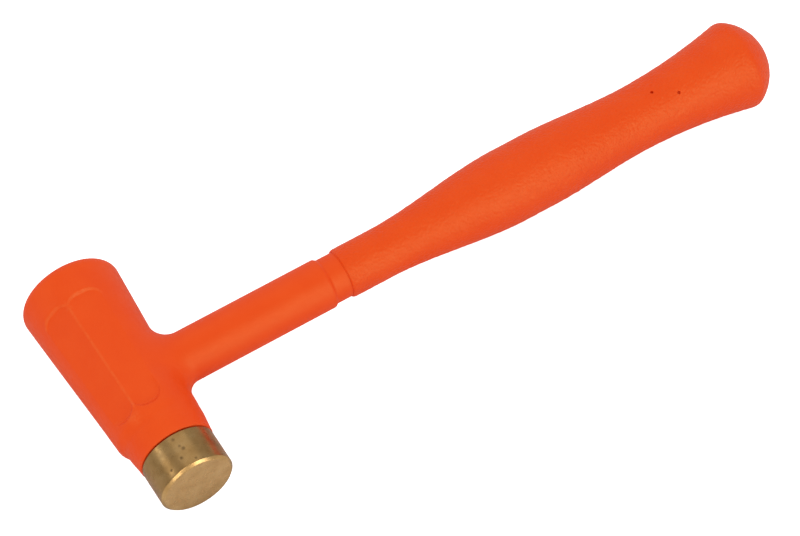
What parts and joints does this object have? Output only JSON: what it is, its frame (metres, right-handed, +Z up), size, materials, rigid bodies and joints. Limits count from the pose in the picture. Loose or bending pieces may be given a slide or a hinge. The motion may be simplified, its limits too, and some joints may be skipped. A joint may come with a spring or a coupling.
{
  "type": "dead blow mallet",
  "caption": "Dead blow mallet with a brass face at one end, a moulded polymer face at the other, and loose steel shot that slides in a canister in the head.",
  "frame": {"origin": "centre of the brass striking face, with the mallet lying flat", "axes": "+X along the handle from the head towards the pommel, +Y along the head from the brass face to the polymer face, +Z up"},
  "size_m": [0.3871, 0.1288, 0.0518],
  "materials": {
    "orange_polyurethane": "smooth moulded polyurethane, satin",
    "orange_grip": "fine stippled moulded polyurethane, satin",
    "brass": "turned brass, lightly tarnished",
    "zinc_steel": "zinc plated",
    "canister_steel": "drawn tube, turned ends",
    "weld_steel": "weld bead",
    "rod_steel": "bright drawn bar",
    "shot_steel": "bare steel balls"
  },
  "bodies": {
    "mallet": {"head_jacket": "orange_polyurethane", "grip": "orange_grip", "brass_face": "brass", "tip_stud": "zinc_steel", "canister_tube": "canister_steel", "canister_plug": "canister_steel", "canister_base": "canister_steel", "rod_socket": "canister_steel", "socket_weld": "weld_steel", "rod_pin": "zinc_steel", "core_rod": "rod_steel", "core_collar": "rod_steel"},
    "shot_charge": {"shot_layer_1": "shot_steel", "shot_layer_2": "shot_steel", "shot_layer_3": "shot_steel", "shot_layer_4": "shot_steel", "shot_layer_5": "shot_steel", "shot_layer_6": "shot_steel", "shot_layer_7": "shot_steel", "shot_layer_8": "shot_steel"}
  },
  "joints": [
    {"name": "shot_slide", "type": "slide", "parent": "mallet", "child": "shot_charge", "axis": [0, 1, 0], "range_m": [0, 0.0278]}
  ]
}
